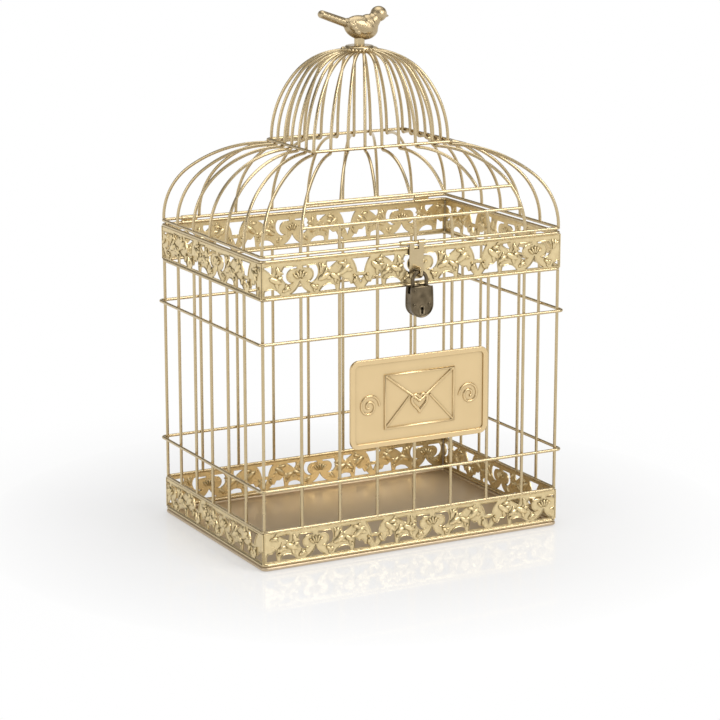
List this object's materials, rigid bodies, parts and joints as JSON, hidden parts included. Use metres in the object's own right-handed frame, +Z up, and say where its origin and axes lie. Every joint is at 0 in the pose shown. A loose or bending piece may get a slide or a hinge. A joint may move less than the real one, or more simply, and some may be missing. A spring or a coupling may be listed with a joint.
{
  "type": "wedding card box",
  "caption": "Birdcage-shaped wire card box with a hinged domed lid, card slot, lace bands, blank plaque, hasp, small padlock and a bird on top.",
  "frame": {"origin": "centre of the floor pan's underside, where the box rests", "axes": "+Z up, -Y out of the front that carries the plaque and the padlock, +X to the right seen from the front"},
  "size_m": [0.2612, 0.1906, 0.4026],
  "materials": {
    "gold_paint": "champagne gold metallic paint on steel wire",
    "gold_lace": "champagne gold metallic paint on stamped steel, darker in the relief",
    "gold_plate": "satin champagne gold metallic paint on sheet and casting",
    "gold_pan": "champagne gold metallic paint on the steel floor",
    "antique_bronze": "dark antique bronze plating, rubbed at the edges",
    "antique_brass": "rubbed antique brass",
    "spring_steel": "plain spring steel"
  },
  "bodies": {
    "cage": {"base_pan": "gold_pan", "base_bottom_wire": "gold_paint", "base_top_wire": "gold_paint", "lower_ring": "gold_paint", "upper_ring": "gold_paint", "band_wire": "gold_paint", "body_rim_wire": "gold_paint", "front_bars": "gold_paint", "back_bars": "gold_paint", "left_bars": "gold_paint", "right_bars": "gold_paint", "corner_posts": "gold_paint", "base_lace_front": "gold_lace", "base_lace_back": "gold_lace", "base_lace_left": "gold_lace", "base_lace_right": "gold_lace", "top_lace_front": "gold_lace", "top_lace_back": "gold_lace", "top_lace_left": "gold_lace", "top_lace_right": "gold_lace", "plaque": "gold_plate", "hinge_strap_left": "gold_paint", "hinge_strap_right": "gold_paint"},
    "lid": {"lid_frame_wire": "gold_paint", "neck_ring": "gold_paint", "crown_button": "gold_paint", "slot_lower_wire": "gold_paint", "slot_upper_wire": "gold_paint", "lid_front_ribs": "gold_paint", "lid_right_ribs": "gold_paint", "lid_back_ribs": "gold_paint", "lid_left_ribs": "gold_paint", "lid_corner_ribs": "gold_paint", "lid_front_stubs": "gold_paint", "bird": "gold_plate", "bird_post": "gold_paint"},
    "hasp": {"hasp_barrel": "gold_paint", "hasp_strap": "gold_paint", "lock_eye": "gold_paint"},
    "shackle": {"padlock_shackle": "antique_bronze"},
    "padlock": {"padlock_front_plate": "antique_bronze", "padlock_back_plate": "antique_bronze", "padlock_rim": "antique_bronze", "padlock_rivets": "antique_bronze", "padlock_pivot_pin": "antique_bronze", "padlock_latch_bolt": "antique_bronze", "padlock_latch_spring": "spring_steel", "keyhole_plate": "antique_brass"}
  },
  "joints": [
    {"name": "lid_hinge", "type": "hinge", "parent": "cage", "child": "lid", "pos_m": [0, 0.088, 0.2364], "axis": [-1, 0, 0], "range_deg": [0, 130]},
    {"name": "hasp_swing", "type": "hinge", "parent": "lid", "child": "hasp", "pos_m": [0, -0.088, 0.2364], "axis": [-1, 0, 0], "range_deg": [0, 110]},
    {"name": "padlock_swing", "type": "hinge", "parent": "hasp", "child": "shackle", "pos_m": [0, -0.0946, 0.2151], "axis": [-1, 0, 0], "range_deg": [0, 80]},
    {"name": "shackle_pivot", "type": "hinge", "parent": "shackle", "child": "padlock", "pos_m": [-0.0058, -0.0946, 0.2014], "axis": [0, 1, 0], "range_deg": [0, 75]}
  ]
}
